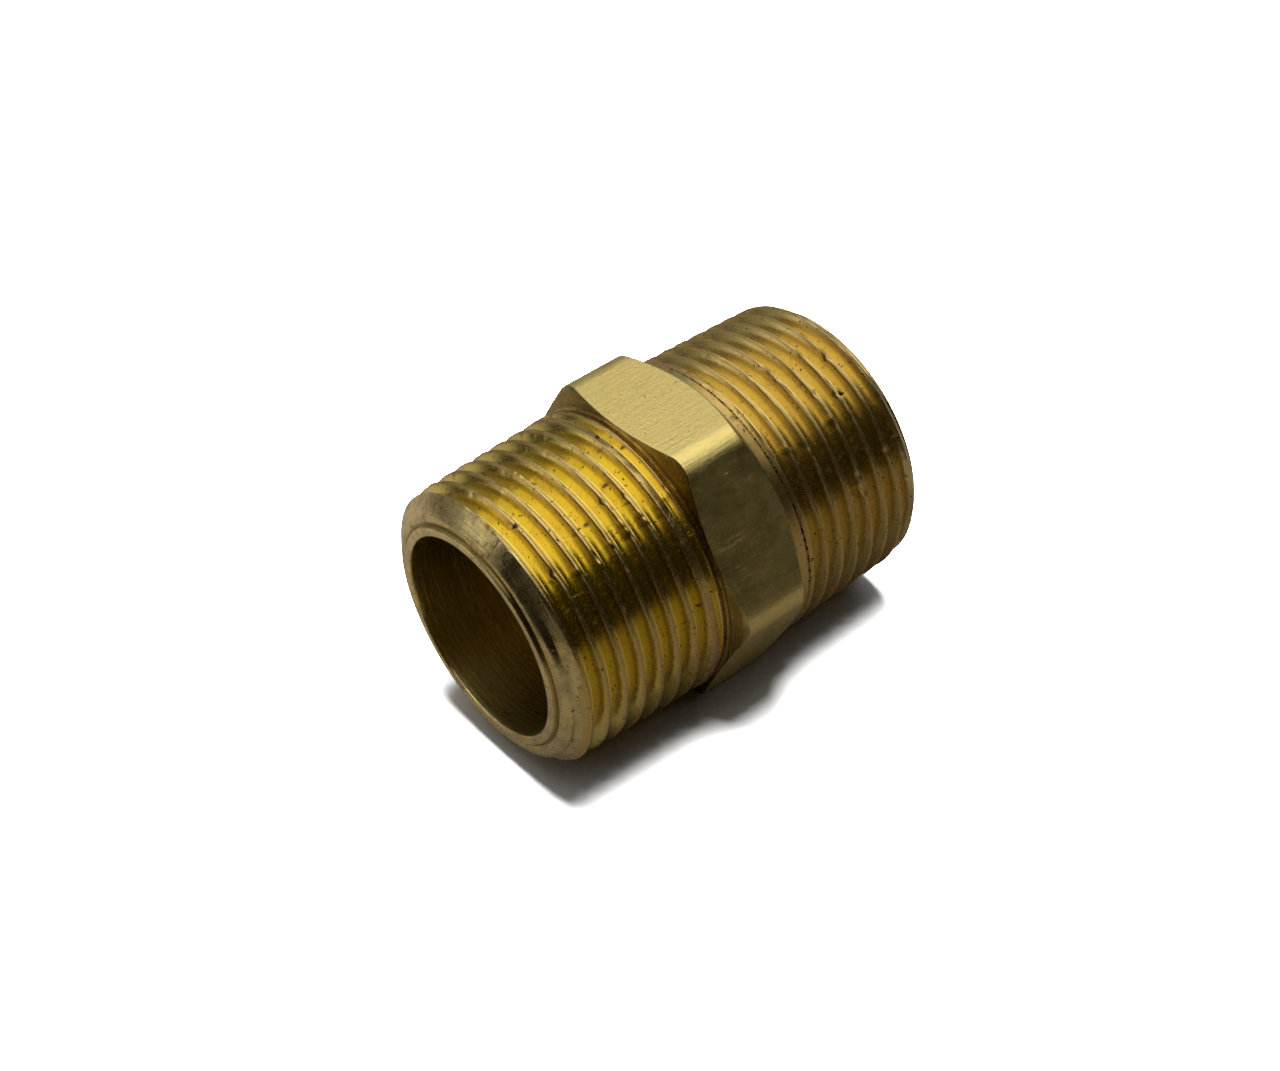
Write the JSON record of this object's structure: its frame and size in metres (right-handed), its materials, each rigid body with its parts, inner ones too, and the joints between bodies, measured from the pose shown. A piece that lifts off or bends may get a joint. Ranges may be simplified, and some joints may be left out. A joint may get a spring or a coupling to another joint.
{
  "type": "hex nipple",
  "caption": "Short brass pipe nipple with a male taper pipe thread at each end, a wrench hex between them and a straight bore right through.",
  "frame": {"origin": "middle of the fitting's length, on the bore axis", "axes": "+X along the bore axis towards the rear end, +Z out of one flat of the hex"},
  "size_m": [0.039, 0.0306, 0.027],
  "materials": {
    "brass": "as machined, satin, lightly tarnished"
  },
  "bodies": {
    "root": {"nipple_body": "brass"}
  },
  "joints": []
}
